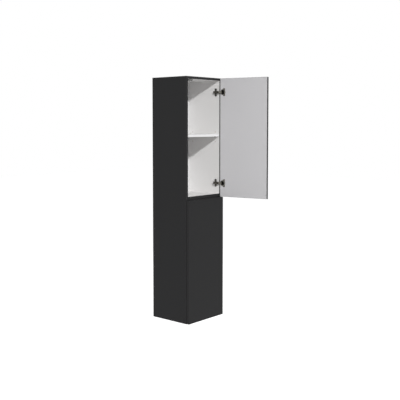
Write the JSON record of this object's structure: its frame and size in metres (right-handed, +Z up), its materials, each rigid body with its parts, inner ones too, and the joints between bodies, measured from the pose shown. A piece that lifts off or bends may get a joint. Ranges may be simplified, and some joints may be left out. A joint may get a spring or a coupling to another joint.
{
  "type": "tall cabinet",
  "caption": "Tall narrow wall-hung bathroom cabinet with an upper and a lower door on concealed hinges, an inner shelf in each compartment and push latches.",
  "frame": {"origin": "on the wall, at the middle of the two screw holes of the wall rail", "axes": "+X to the right seen from the front, +Y into the wall, +Z up"},
  "size_m": [0.4098, 0.6493, 1.6],
  "materials": {
    "carcass_board": "melamine-faced board, graphite outside and white inside",
    "door_board": "melamine-faced board, graphite in front and white behind",
    "graphite_edging": "satin graphite edge band",
    "white_board": "white melamine-faced board",
    "beech": "plain beech dowels",
    "zinc": "cast zinc, plain",
    "nickel_steel": "nickel-plated steel",
    "clear_pad": "clear soft pad",
    "white_plastic": "white moulded plastic",
    "grey_plastic": "light grey moulded plastic",
    "zinc_steel": "zinc-plated steel"
  },
  "bodies": {
    "cabinet": {"back_panel": "white_board", "bottom_panel": "carcass_board", "bracket_screws": "zinc_steel", "cam_bolts": "zinc", "cam_locks": "zinc", "carcass_edge_bands": "graphite_edging", "hinge_adjusting_screws": "nickel_steel", "hinge_arm_pins": "nickel_steel", "hinge_plate_screws": "nickel_steel", "latch_screws": "zinc_steel", "left_side_panel": "carcass_board", "left_wall_bracket": "zinc_steel", "lower_bottom_hinge_arm": "nickel_steel", "lower_bottom_hinge_plate": "nickel_steel", "lower_latch_housing": "grey_plastic", "lower_shelf": "white_board", "lower_top_hinge_arm": "nickel_steel", "lower_top_hinge_plate": "nickel_steel", "middle_board_screws": "zinc_steel", "middle_floor_board": "carcass_board", "middle_panel": "carcass_board", "right_side_panel": "carcass_board", "right_wall_bracket": "zinc_steel", "shelf_edge_bands": "white_board", "shelf_pins": "nickel_steel", "top_panel": "carcass_board", "upper_bottom_hinge_arm": "nickel_steel", "upper_bottom_hinge_plate": "nickel_steel", "upper_latch_housing": "grey_plastic", "upper_shelf": "white_board", "upper_top_hinge_arm": "nickel_steel", "upper_top_hinge_plate": "nickel_steel", "wall_rail": "zinc_steel", "wood_dowels": "beech"},
    "lower_door": {"lower_bottom_hinge_cup": "nickel_steel", "lower_cup_pins": "nickel_steel", "lower_cup_screws": "nickel_steel", "lower_door_bumpers": "clear_pad", "lower_door_edge_bands": "graphite_edging", "lower_door_panel": "door_board", "lower_strike_plate": "white_plastic", "lower_top_hinge_cup": "nickel_steel"},
    "lower_links": {"lower_bottom_hinge_link": "nickel_steel", "lower_top_hinge_link": "nickel_steel"},
    "lower_plunger": {"lower_latch_plunger": "grey_plastic"},
    "upper_door": {"upper_bottom_hinge_cup": "nickel_steel", "upper_cup_pins": "nickel_steel", "upper_cup_screws": "nickel_steel", "upper_door_bumpers": "clear_pad", "upper_door_edge_bands": "graphite_edging", "upper_door_panel": "door_board", "upper_strike_plate": "white_plastic", "upper_top_hinge_cup": "nickel_steel"},
    "upper_links": {"upper_bottom_hinge_link": "nickel_steel", "upper_top_hinge_link": "nickel_steel"},
    "upper_plunger": {"upper_latch_plunger": "grey_plastic"}
  },
  "joints": [
    {"name": "upper_link_turn", "type": "hinge", "parent": "cabinet", "child": "upper_links", "pos_m": [0.149, -0.3037, -0.295], "axis": [0, 0, 1], "range_deg": [0, 38.2]},
    {"name": "upper_door_swing", "type": "hinge", "parent": "upper_links", "child": "upper_door", "pos_m": [0.16116, -0.31493, -0.295], "axis": [0, 0, 1], "range_deg": [-138.2, 0]},
    {"name": "upper_plunger_slide", "type": "slide", "parent": "cabinet", "child": "upper_plunger", "axis": [0, -1, 0], "range_m": [-0.008, 0]},
    {"name": "lower_link_turn", "type": "hinge", "parent": "cabinet", "child": "lower_links", "pos_m": [0.149, -0.3037, -1.095], "axis": [0, 0, 1], "range_deg": [-38.2, 0]},
    {"name": "lower_door_swing", "type": "hinge", "parent": "lower_links", "child": "lower_door", "pos_m": [0.1655, -0.305, -1.095], "axis": [0, 0, 1], "range_deg": [0, 138.2]},
    {"name": "lower_plunger_slide", "type": "slide", "parent": "cabinet", "child": "lower_plunger", "axis": [0, -1, 0], "range_m": [0, 0.008]}
  ],
  "couplings": [
    {"joint": "upper_link_turn", "follows": "upper_door_swing", "ratio": -0.27641},
    {"joint": "upper_plunger_slide", "follows": "upper_door_swing", "m_per_rad": 0.0033167},
    {"joint": "lower_link_turn", "follows": "lower_door_swing", "ratio": -0.27641},
    {"joint": "lower_plunger_slide", "follows": "lower_door_swing", "m_per_rad": 0.0033167}
  ]
}
